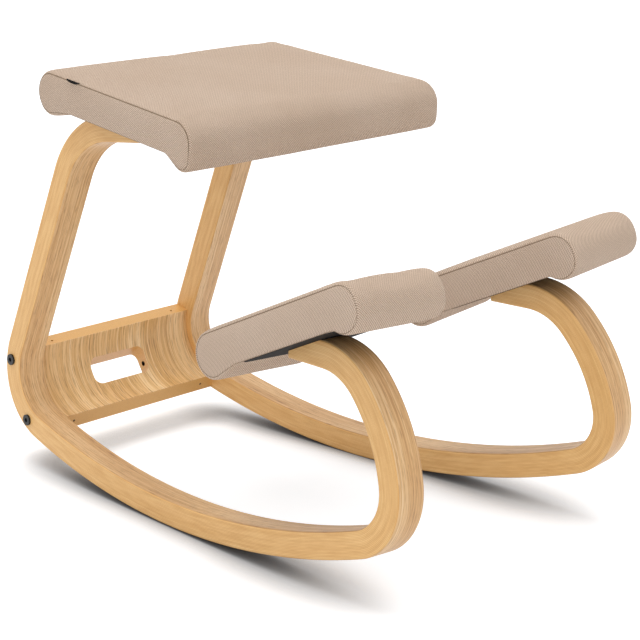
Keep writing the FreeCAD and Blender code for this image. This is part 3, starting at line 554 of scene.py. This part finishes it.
# %% Bent board material
BOARD_THICK, BOARD_INSET = 19.0, 3.0
BOARD_SHEET, BOARD_FACE = 1.5, 0.5
SLOT_TURN, SLOT_BORE, SLOT_END = 54.4, 3.7, 46.3
bend_x = (bend_centre[0] * math.cos(toe) + WIDE * math.sin(toe)) * MM
bend_z = (LIFT + bend_centre[1] * math.cos(cant) - WIDE * math.sin(cant)) * MM
OUTER = (REAR_BEND_RADIUS + THICK - BOARD_INSET) * MM
INNER = OUTER - BOARD_THICK * MM


def reach_of(tree, place, x, z):
    """How far a point lies from a line across the chair at x and z, and its steps from it."""
    dx = add_node(tree, MATH, "SUBTRACT", place["X"], x)
    dz = add_node(tree, MATH, "SUBTRACT", place["Z"], z)
    squares = add_node(tree, MATH, "ADD", add_node(tree, MATH, "MULTIPLY", dx, dx),
                       add_node(tree, MATH, "MULTIPLY", dz, dz))
    return add_node(tree, MATH, "SQRT", squares), dx, dz


bent_board, tree, shader = new_material("bent_oak_plywood_matt_lacquer")
place = add_node(tree, SEPARATE, Vector=add_node(tree, "ShaderNodeTexCoord").outputs["Object"]).outputs
radius, dx, dz = reach_of(tree, place, bend_x, bend_z)
angle = add_node(tree, MATH, "ARCTAN2", dz, add_node(tree, MATH, "MULTIPLY", dx, -1.0))
along = add_node(tree, MATH, "MULTIPLY", angle, INNER)
tone, pores = veneer_pattern(tree, along, place["Y"], add_node(tree, MATH, "MULTIPLY", radius, 12.0))
face = veneer_face(tree, tone, pores, [(0.32, "#C18F53"), (0.44, "#D6A86A"), (0.51, "#E3B97F"),
                                       (0.58, "#EFCB95"), (0.72, "#F8DDB1")],
                   [(0.36, "#8A5E33"), (0.47, "#FFFFFF")])
sheets = add_node(tree, MATH, "DIVIDE", radius, BOARD_SHEET * MM)
ply_stops = [(0.0, "#C08A4A"), (0.22, "#C99354"), (0.30, "#E3B26C"), (1.0, "#DEAC64")]
ply = add_node(tree, RAMP, {"stops": ply_stops}, add_node(tree, MATH, "FRACT", sheets))
depth = add_node(tree, MATH, "MINIMUM", add_node(tree, MATH, "SUBTRACT", OUTER, radius),
                 add_node(tree, MATH, "SUBTRACT", radius, INNER))
is_face = add_node(tree, MATH, "LESS_THAN", depth, BOARD_FACE * MM)
colour = add_node(tree, MIX, BLEND, _0=is_face, _6=ply, _7=face).outputs[2]
# Painted shade: the blind bores in the slot's two ends are near black, for their shade and darker end grain
bore_turn = math.radians(270 - UPRIGHT_LEAN + SLOT_TURN)
board_middle = OUTER - BOARD_THICK / 2 * MM
off_bore = reach_of(tree, place, bend_x + board_middle * math.sin(bore_turn),
                    bend_z - board_middle * math.cos(bore_turn))[0]
past_slot = add_node(tree, MATH, "GREATER_THAN", add_node(tree, MATH, "ABSOLUTE", place["Y"]), SLOT_END * MM)
bore_shade_and_end_grain = add_node(tree, MATH, "MULTIPLY", add_node(tree, MATH, "LESS_THAN", off_bore, SLOT_BORE * MM),
                   past_slot)
colour = add_node(tree, MIX, BLEND, _0=bore_shade_and_end_grain, _6=colour, _7=linear("#24150B")).outputs[2]
finish_wood(tree, shader, colour, tone, is_face, Roughness=0.38)


def dress(node, material):
    """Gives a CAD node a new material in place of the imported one."""
    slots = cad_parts[node].data.materials
    slots.clear()
    slots.append(material)


dress("crosspiece", bent_board)
print("bend axis at x", round(bend_x, 4), "z", round(bend_z, 4))

# %% [markdown]
# ## Small hard parts
# - black_oxide_steel: bolts, pins and screws, blackened in a hot salt bath and oiled, so nearly black
#   with a small soft highlight.
# - zinc_plated_steel: washers, nuts and sleeves, plated bright, so light grey with a clear highlight.
# - black_moulded_plastic: the base plates under seat and pads, pressed against an etched mould, so
#   black and dull with a fine grain.
# - raw_birch_plywood: the boards in the cushions, sanded and left bare, so pale and matt.
# - black_woven_tape: the tab, a close weave of thin yarn, so black without any gloss.
#
# Each gets a fine noise, so that none is one flat colour. Its size, 0.6 to 4 mm, was chosen.

# %% Small materials


def speckled(name, dark, light, grain_mm, roughness, metallic=0.0, relief=0.0001, gloss=0.5):
    """A finish whose tone and relief vary a little, by a noise of the given size."""
    material, tree, shader = new_material(name)
    place = add_node(tree, "ShaderNodeTexCoord").outputs["Object"]
    grain = add_node(tree, NOISE, Vector=place, Scale=1 / (grain_mm * MM), Detail=3.0)
    fill(tree, shader, Roughness=roughness, Metallic=metallic, Specular_IOR_Level=gloss,
         Base_Color=add_node(tree, RAMP, {"stops": [(0.3, dark), (0.7, light)]}, grain),
         Normal=add_node(tree, BUMP, Strength=0.4, Distance=relief, Height=grain))
    return material


black_steel = speckled("black_oxide_steel", "#080808", "#151413", 1.2, 0.40, metallic=0.2)
zinc = speckled("zinc_plated_steel", "#A9A8A2", "#C6C5C0", 1.5, 0.32, metallic=1.0)
black_plastic = speckled("black_moulded_plastic", "#08090A", "#131416", 0.9, 0.75, gloss=0.15)
raw_plywood = speckled("raw_birch_plywood", "#B58F5F", "#CDAA7C", 4.0, 0.7)
black_tape = speckled("black_woven_tape", "#0B0A09", "#1C1A18", 0.6, 0.9, relief=0.0003, gloss=0.15)
DRESSED = [
    (black_steel, ("crosspiece_bolts", "sleeve_pins", "seat_screws", "knee_pad_screws")),
    (zinc, ("crosspiece_sleeves", "seat_washers", "seat_nuts", "knee_pad_washers", "knee_pad_nuts")),
    (black_plastic, ("seat_base_plate", "knee_pad_base_right", "knee_pad_base_left")),
    (raw_plywood, ("seat_board", "knee_pad_board_right", "knee_pad_board_left")),
    (black_tape, ("seat_tab",)),
]
for material, nodes in DRESSED:
    for node in nodes:
        dress(node, material)
print("dressed", sum(len(nodes) for material, nodes in DRESSED), "nodes in", len(DRESSED), "materials")

# %% [markdown]
# ## Twill
# The seat and the pads are covered in a beige twill of thick yarn. Twill shows slanted ridges, called
# wales, each made of short floats of yarn. The pattern follows the cloth, so the material reads the
# UV map, in which one unit is one metre of cloth. The real wales are about 1.2 mm apart, which is
# finer than a pixel here, so they are drawn 2.7 mm apart.

# %% Twill material
WALE = 2.7 * MM
# Noise scales are one over a size in metres: the wander of the wales, one yarn, and uneven dyeing
WANDER, YARN, UNEVEN = 220.0, 900.0, 9.0
twill, tree, shader = new_material("beige_wool_twill")
cloth = add_node(tree, SEPARATE, Vector=add_node(tree, "ShaderNodeTexCoord").outputs["UV"]).outputs
u, v = cloth["X"], cloth["Y"]
flat_place = add_node(tree, COMBINE, X=u, Y=v)
wander = add_node(tree, NOISE, Vector=flat_place, Scale=WANDER, Detail=2.0)
slant = add_node(tree, MATH, "DIVIDE", add_node(tree, MATH, "ADD", u, v), WALE)
slant = add_node(tree, MATH, "ADD", slant, add_node(tree, MATH, "MULTIPLY", wander, 0.5))
wales = add_node(tree, MATH, "SINE", add_node(tree, MATH, "MULTIPLY", slant, 2 * math.pi))
counter = add_node(tree, MATH, "DIVIDE", add_node(tree, MATH, "SUBTRACT", u, v), WALE)
floats = add_node(tree, MATH, "SINE", add_node(tree, MATH, "MULTIPLY", counter, 2 * math.pi))
weave = add_node(tree, MATH, "ADD", add_node(tree, MATH, "MULTIPLY", wales, 0.34),
                 add_node(tree, MATH, "MULTIPLY", floats, 0.16))
height = add_node(tree, MATH, "ADD", weave, 0.5)
melange = add_node(tree, NOISE, Vector=flat_place, Scale=YARN, Detail=1.0)
uneven = add_node(tree, NOISE, Vector=flat_place, Scale=UNEVEN, Detail=3.0)
mixed = add_node(tree, MATH, "ADD", add_node(tree, MATH, "MULTIPLY", height, 0.72),
                 add_node(tree, MATH, "MULTIPLY", melange, 0.28))
yarn_stops = [(0.20, "#A08875"), (0.40, "#C2A994"), (0.58, "#DAC2AD"), (0.80, "#EAD5C2")]
yarn = add_node(tree, RAMP, {"stops": yarn_stops}, mixed)
yarn = add_node(tree, MIX, MULTIPLIED, _0=0.5, _6=yarn,
                _7=add_node(tree, RAMP, {"stops": [(0.3, "#EFE9E2"), (0.7, "#FFFFFF")]}, uneven)).outputs[2]
# Loose fibres give wool its faint sheen
fill(tree, shader, Base_Color=yarn, Roughness=0.88, Specular_IOR_Level=0.25, Sheen_Weight=0.25,
     Sheen_Roughness=0.5, Sheen_Tint=linear("#E8D8C6"),
     Normal=add_node(tree, BUMP, Strength=0.75, Distance=0.0010, Height=height))
# The same twill where it dives into a seam: folded in and in its own shade, so darker and without a weave
seam_twill = speckled("sunken_seam_shadow_twill", "#7E6853", "#948069", 0.8, 0.95)
print("wales", WALE / MM, "mm apart")

# %% [markdown]
# ## The side of a cushion
# Each cushion is foam on a board in a sewn cover: one long strip of twill goes round the top, the two
# rolls and the underside, and a dog-bone shaped panel closes each side. Seen from the side, the outline
# is lines and arcs, and it is hollow below, where the base plate lies. The pad's front roll hangs a
# little lower than its foam, and so does the seat's.

# %% Cushion outline
SEAT_SIZES = dict(half=198.4, taper=3.8, top=45.0, rear_x=-151.5, rear_radius=28.5, front_x=88.2,
                  front_radius=29.0, lip_radius=16.0, lip_low=16.3, hollow_rear=-111.5, hollow_front=72.5)
PAD_SIZES = dict(half=64.3, taper=0.0, top=47.5, rear_x=-77.0, rear_radius=29.5, front_x=145.3,
                 front_radius=27.2, lip_radius=26.0, lip_low=10.9, hollow_rear=-42.0, hollow_front=126.0)


def on_circle(centre, radius, angle):
    return centre + radius * np.array([math.cos(angle), math.sin(angle)])


def cushion_outline(s, shrink, hollow, spacing=6.0):
    """A cushion's side outline, shrunk a little: its points, the way along it, and its middle line."""
    top = s["top"] - shrink
    rear, front, lip = (s[k] - shrink for k in ("rear_radius", "front_radius", "lip_radius"))
    nose = s["front_x"] + front
    low = shrink - s["lip_low"]
    rear_centre = np.array([s["rear_x"], top - rear])
    front_centre = np.array([s["front_x"], top - front])
    lip_centre = np.array([nose - lip, low + lip])

    def touch(centre, radius, x, side):
        """The angle at which a line from the hollow's end touches a roll."""
        away = np.array([x, hollow]) - centre
        angle = math.atan2(away[1], away[0]) + side * math.acos(min(1.0, radius / np.hypot(*away)))
        return angle % (2 * math.pi)

    def line(a, b):
        count = max(1, round(np.hypot(*(np.array(b) - a)) / spacing))
        return [np.array(a) + (np.array(b) - a) * k / count for k in range(count)]

    def arc(centre, radius, first, last):
        count = max(3, round(radius * (last - first) / spacing))
        return [on_circle(centre, radius, a) for a in np.linspace(first, last, count, endpoint=False)]

    rear_turn = touch(rear_centre, rear, s["hollow_rear"], -1)
    lip_turn = touch(lip_centre, lip, s["hollow_front"], 1)
    points = line((s["front_x"], top), (s["rear_x"], top))
    points += arc(rear_centre, rear, math.pi / 2, rear_turn)
    points += line(on_circle(rear_centre, rear, rear_turn), (s["hollow_rear"], hollow))
    points += line((s["hollow_rear"], hollow), (s["hollow_front"], hollow))
    points += line((s["hollow_front"], hollow), on_circle(lip_centre, lip, lip_turn))
    points += arc(lip_centre, lip, lip_turn, 2 * math.pi)
    points += line((nose, low + lip), (nose, top - front))
    points += arc(front_centre, front, 0, math.pi / 2)
    points = np.array(points)
    steps = np.hypot(*(np.roll(points, -1, 0) - points).T)
    length = np.concatenate([[0], np.cumsum(steps)])
    spine = np.stack([np.clip(points[:, 0], s["rear_x"] + 4, s["front_x"] - 4),
                      np.full(len(points), (rear_centre[1] + front_centre[1]) / 2)], 1)
    return points, length, spine


for label, sizes in (("seat", SEAT_SIZES), ("pad", PAD_SIZES)):
    print(label, "outline of", len(cushion_outline(sizes, 0.0, 0.0)[0]), "points")

# %% [markdown]
# ## The mesh of a cushion
# The mesh is laid out as the cover is sewn. Rows of the strip turn over the edge, dip into the seam,
# and go on as rings that close on the side panel's middle line. The strip's UV map is its width and
# its length, and a panel's is its own plane, so the twill runs on each as it was cut.

# %% Cushion mesh
# Rows from the strip's last full one outwards: how far in towards the side panel's middle line, and
# how far out past the side, in mm
EDGE_ROWS = [(0.0, -7.0), (0.15, -4.0), (0.7, -1.8), (1.9, -0.5), (3.0, -0.4)]
SEAM_ROW = (3.8, -1.5)
PANEL_ROWS = [(4.6, -0.5), (6.2, 0.1), (9.0, 0.4), (13.0, 0.6), (17.5, 0.7), (22.0, 0.7)]
# Points along a side panel's middle line: wider apart than the outline's, so both halves meet in each
MIDDLE_PITCH = 8.0
# In the hollow the edge turns over by only this share, and the full share comes back over this length
HOLLOW_WRAP, WRAP_BACK = 0.15, 24
# Points this near the hollow's roof, and this far past its ends, lie on the base plate and stay put
HELD_HEIGHT, HELD_PAST = 1.5, 8


def build_cushion(name, s, place, shrink=1.7, hollow=0.4, step=9.0):
    """The unblown mesh of a cushion in the chair's frame, with its UV map and held points, and its seams."""
    points, length, spine = cushion_outline(s, shrink, hollow)
    count = len(points)
    half = s["half"] - shrink
    inner = half + EDGE_ROWS[0][1]
    across = list(np.linspace(-inner, inner, max(8, round(2 * inner / step)))[1:-1])
    side = [(inset, half + out, "strip") for inset, out in EDGE_ROWS]
    side += [(SEAM_ROW[0], half + SEAM_ROW[1], "seam")]
    side += [(inset, half + out, "panel") for inset, out in PANEL_ROWS]
    side += [(None, half + PANEL_ROWS[-1][1], "panel")]
    rows = [(inset, -y, kind) for inset, y, kind in reversed(side)]
    rows += [(0.0, y, "strip") for y in across] + side
    behind, before = s["hollow_rear"] - points[:, 0], points[:, 0] - s["hollow_front"]
    beyond = np.maximum.reduce([behind, before, np.zeros(count)])
    wrap = HOLLOW_WRAP + (1 - HOLLOW_WRAP) * np.clip(beyond / WRAP_BACK, 0, 1) ** 1.5
    wrap = np.where(points[:, 1] < spine[:, 1], wrap, 1.0)
    low, high = spine[:, 0].min(), spine[:, 0].max()
    pitch = (high - low) / round((high - low) / MIDDLE_PITCH)
    middle = low + np.round((spine[:, 0] - low) / pitch) * pitch
    to_spine = spine - points
    reach = np.hypot(*to_spine.T)
    inward = to_spine / np.maximum(reach, 1e-6)[:, None]
    taper = math.tan(math.radians(s["taper"]))
    vertices, kinds = [], []
    for inset, y, kind in rows:
        for k in range(count):
            if inset is None:
                x, z = middle[k], spine[k][1]
            else:
                x, z = points[k] + inward[k] * min(inset * wrap[k], reach[k] * 0.96)
            vertices.append((x, y * (1 + taper * x / s["half"]), z))
            kinds.append(kind)
    faces, corners = [], []
    for r in range(len(rows) - 1):
        flat = "panel" in (rows[r][2], rows[r + 1][2])
        for k in range(count):
            n = (k + 1) % count
            ring = [(r, k), (r, n), (r + 1, n), (r + 1, k)]
            faces.append([a * count + b for a, b in ring])
            for a, b in ring:
                x, y, z = vertices[a * count + b]
                round_way = length[count] if b == 0 and k == count - 1 else length[b]
                corners.append((x * MM, -z * MM) if flat else (y * MM, round_way * MM))
    mesh = bpy.data.meshes.new(name)
    mesh.from_pydata([Vector(v) * MM for v in vertices], [], faces)
    mesh.uv_layers.new(name="cloth").data.foreach_set("uv", np.array(corners, np.float32).ravel())
    piece = add_object(name, mesh)
    rear_end, front_end = s["hollow_rear"] - HELD_PAST, s["hollow_front"] + HELD_PAST
    under = [i for i, v in enumerate(vertices) if v[2] < hollow + HELD_HEIGHT and rear_end < v[0] < front_end]
    stitched = [i for i, kind in enumerate(kinds) if kind == "seam"]
    piece.vertex_groups.new(name="held").add(under + stitched, 1.0, "REPLACE")
    for vertex in mesh.vertices:
        vertex.co = (place @ (vertex.co / MM)) * MM
    rings = [[r * count + k for k in range(count)] for r, row in enumerate(rows) if row[2] == "seam"]
    return piece, [np.array([mesh.vertices[i].co for i in ring]) for ring in rings]


seat, seat_seams = build_cushion("seat_cushion", SEAT_SIZES, SEAT)
pad_right, pad_seams = build_cushion("knee_pad_cushion_right", PAD_SIZES, PAD, step=7.0)
print("cushions laid out with", [len(p.data.polygons) for p in (seat, pad_right)], "faces")

# %% [markdown]
# ## Blowing up the cushions
# Cloth with an inner pressure and no gravity makes the panels belly out between their seams, as
# stuffed covers do, with the seams and the underside held. The solver needs a closed mesh without
# doubled points, so the side panels are welded first. The modelled outline already fits the
# photograph, so how far a point may move is capped, and the cap is most of what sets the swell. The
# result is applied to the mesh, and no Cloth modifier stays on the piece.

# %% Cushion simulation


def blow_up(piece, cap_mm, frames=20):
    """Runs a short pressure simulation and moves each point by at most cap_mm."""
    rest = np.array([v.co for v in piece.data.vertices])
    cloth = piece.modifiers.new("cloth", "CLOTH")
    settings = cloth.settings
    settings.quality = 5
    settings.mass = 0.3
    settings.tension_stiffness = settings.compression_stiffness = 18
    settings.shear_stiffness = 8
    settings.bending_stiffness = 2.0
    settings.use_pressure = True
    settings.uniform_pressure_force = 4.0
    settings.effector_weights.gravity = 0.0
    settings.vertex_group_mass = "held"
    cloth.point_cache.frame_start = 1
    cloth.point_cache.frame_end = frames
    scene = bpy.context.scene
    for number in range(1, frames + 1):
        scene.frame_set(number)
    graph = bpy.context.evaluated_depsgraph_get()
    moved = np.array([v.co for v in piece.evaluated_get(graph).data.vertices])
    piece.modifiers.remove(cloth)
    scene.frame_set(1)
    change = moved - rest
    far = np.linalg.norm(change, axis=1)
    cap = cap_mm * MM
    kept = cap * np.tanh(far / cap)
    change *= np.where(far > 1e-9, kept / np.maximum(far, 1e-9), 0)[:, None]
    piece.data.vertices.foreach_set("co", (rest + change).astype(np.float32).ravel())
    piece.data.update()
    swell, wished = float(kept.max()) / MM, float(far.max()) / MM
    print(piece.name, "swelled by up to", round(swell, 2), "mm of a wished", round(wished, 1))


def finish_cushion(piece, cap_mm):
    """Closes the cushion along the side panels' middle lines, blows it up, smooths it and clothes it."""
    work = bmesh.new()
    work.from_mesh(piece.data)
    bmesh.ops.remove_doubles(work, verts=work.verts, dist=0.00005)
    bmesh.ops.dissolve_degenerate(work, edges=work.edges, dist=0.00002)
    bmesh.ops.recalc_face_normals(work, faces=work.faces)
    print(piece.name, "has", sum(len(e.link_faces) != 2 for e in work.edges), "open edges")
    work.to_mesh(piece.data)
    work.free()
    blow_up(piece, cap_mm)
    smooth_faces(piece)
    smooth = piece.modifiers.new("smooth", "SUBSURF")
    smooth.levels = smooth.render_levels = 1
    piece.data.materials.append(twill)


finish_cushion(seat, 1.6)
finish_cushion(pad_right, 1.4)
pad_left = mirror_piece(pad_right, "knee_pad_cushion_left")
settle(seat, "twill", "seat_cover", "seat_foam")
settle(pad_right, "twill", "knee_pad_cover_right", "knee_pad_foam_right")
settle(pad_left, "twill", "knee_pad_cover_left", "knee_pad_foam_left")
print("cushions have", [len(p.data.polygons) for p in (seat, pad_right)], "faces before smoothing")

# %% [markdown]
# ## The seams
# Strip and side panel are sewn together inside out, so all that shows is a sunken line, darker than
# the cloth. A thin round cord of shaded cloth lies in the groove to show it. It is swept along the
# seam's own points, which the simulation held in place.

# %% Sew the seams
SEAM_RADIUS = 0.7 * MM
seam_tree, source, output = begin_tree("sewn_seam", {"Radius": SEAM_RADIUS})
circle = add_node(seam_tree, "GeometryNodeCurvePrimitiveCircle", {"mode": "RADIUS"}, Resolution=6,
                  Radius=source["Radius"])
welt = add_node(seam_tree, "GeometryNodeCurveToMesh", Curve=source["Geometry"], Profile_Curve=circle)
end_tree(seam_tree, source, welt, output)


def sew(name, ring):
    """A thin round seam that lies in the groove between the strip and a side panel."""
    piece = run_tree(seam_tree, path_object(name + "_line", ring, cyclic=True), name, seam_twill)
    smooth_faces(piece)
    return piece


for side, ring in zip(("right", "left"), seat_seams):
    settle(sew(f"seat_seam_{side}", ring), "twill")
for edge_name, ring in zip(("outer", "inner"), pad_seams):
    welt_right = sew(f"knee_pad_seam_{edge_name}_right", ring)
    welt_left = mirror_piece(welt_right, f"knee_pad_seam_{edge_name}_left")
    settle(welt_right, "twill")
    settle(welt_left, "twill")
print("seams sewn:", len(seat_seams) + 2 * len(pad_seams))

# %% [markdown]
# ## The tab in the seat's seam
# A short loop of black tape is caught in the seat's side seam near the rear, with nothing on it. It is
# folded, so only its curved edge stands out a little. A small bent sheet with a thickness shows that.

# %% Seam tab
TAB_LONG, TAB_DROP, TAB_FROM, TAB_TOP, TAPE = 25.0, 2.8, -114.0, 42.4, 0.8
# Down the tab: share of the drop, and how far it stands out from the cushion's side
TAB_SECTION = ((0.0, 0.1), (0.35, 0.9), (0.75, 1.1), (1.0, 0.7))
TAB_STEPS = 12
tab_points, tab_faces = [], []
for k in range(TAB_STEPS + 1):
    share = k / TAB_STEPS
    x = TAB_FROM + TAB_LONG * share
    y = -(SEAT_SIZES["half"] + x * math.tan(math.radians(SEAT_SIZES["taper"])))
    drop = TAB_DROP * (1 - abs(2 * share - 0.9) ** 3)
    for level, out in TAB_SECTION:
        tab_points.append((SEAT @ Vector((x, y - out, TAB_TOP - drop * level))) * MM)
    if k:
        tab_faces += [(4 * k - 4 + j, 4 * k - 3 + j, 4 * k + 1 + j, 4 * k + j) for j in range(3)]
tab_mesh = bpy.data.meshes.new("seam_tab")
tab_mesh.from_pydata(tab_points, [], tab_faces)
tab_mesh.materials.append(black_tape)
tab = add_object("seam_tab", tab_mesh)
tape = tab.modifiers.new("tape", "SOLIDIFY")
tape.thickness = TAPE * MM
tape.offset = 0
settle(tab, "black_cloth", "seat_tab")
print("tab of", len(tab_points), "points")
